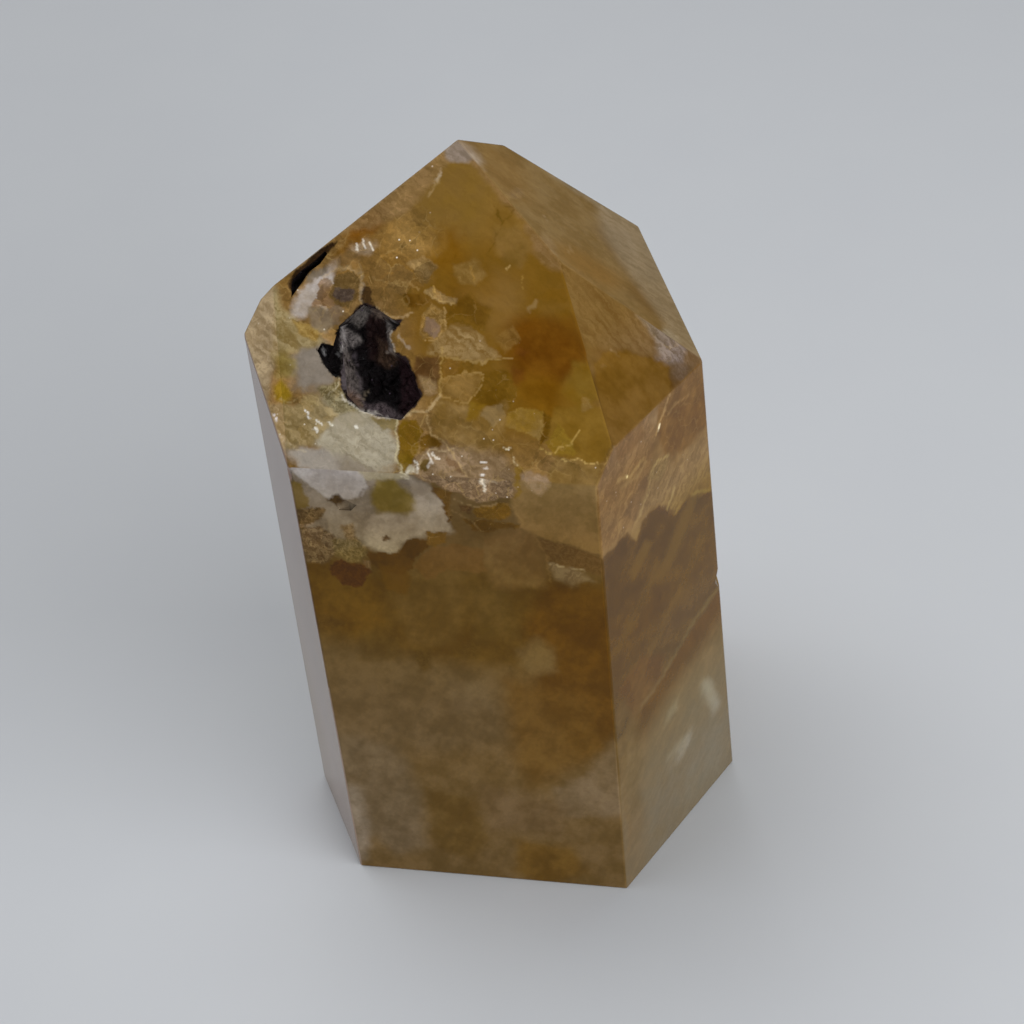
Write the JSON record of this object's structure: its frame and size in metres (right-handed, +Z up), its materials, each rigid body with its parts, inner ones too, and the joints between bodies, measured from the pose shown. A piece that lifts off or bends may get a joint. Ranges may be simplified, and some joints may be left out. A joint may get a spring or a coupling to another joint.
{
  "type": "golden healer quartz tower",
  "caption": "Polished golden brown quartz tower: a six-sided prism with a faceted point, dark mineral hollows and a flat base to stand on.",
  "frame": {"origin": "middle of the flat base, on the surface that the tower stands on", "axes": "+Z up the tower to its point; the wide front side faces -Y, and +X is to the right seen from the front"},
  "size_m": [0.0495, 0.0457, 0.0829],
  "materials": {
    "golden_quartz": "polished, partly clear"
  },
  "bodies": {
    "root": {"quartz_tower": "golden_quartz"}
  },
  "joints": []
}
